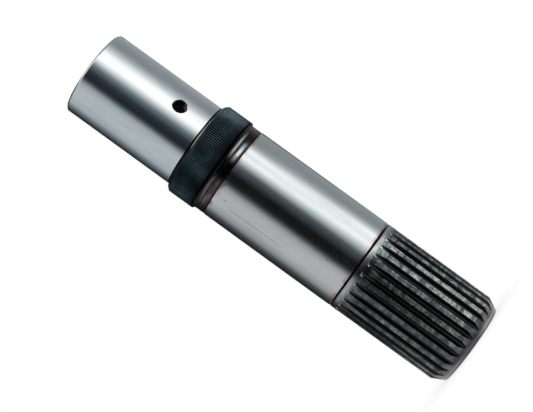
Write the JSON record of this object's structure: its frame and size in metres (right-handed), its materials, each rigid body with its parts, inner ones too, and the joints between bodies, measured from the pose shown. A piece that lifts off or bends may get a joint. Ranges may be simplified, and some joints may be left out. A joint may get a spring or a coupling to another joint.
{
  "type": "stator support shaft",
  "caption": "Hollow turned steel support shaft with ground journals, a knurled press-fit collar, a radial oil hole and an involute spline at its end.",
  "frame": {"origin": "centre of the splined end face, on the shaft's axis; the shaft stands on that face", "axes": "+Z along the shaft's axis from the splined end to the plain end; -Y is the side that the radial oil hole faces; +X completes a right-handed frame"},
  "size_m": [0.038, 0.038, 0.1703],
  "materials": {
    "shaft_steel": "ground bright journals; collar, neck and spline left black from heat treatment, with temper colours at their edges"
  },
  "bodies": {
    "root": {"stator_support_shaft": "shaft_steel"}
  },
  "joints": []
}
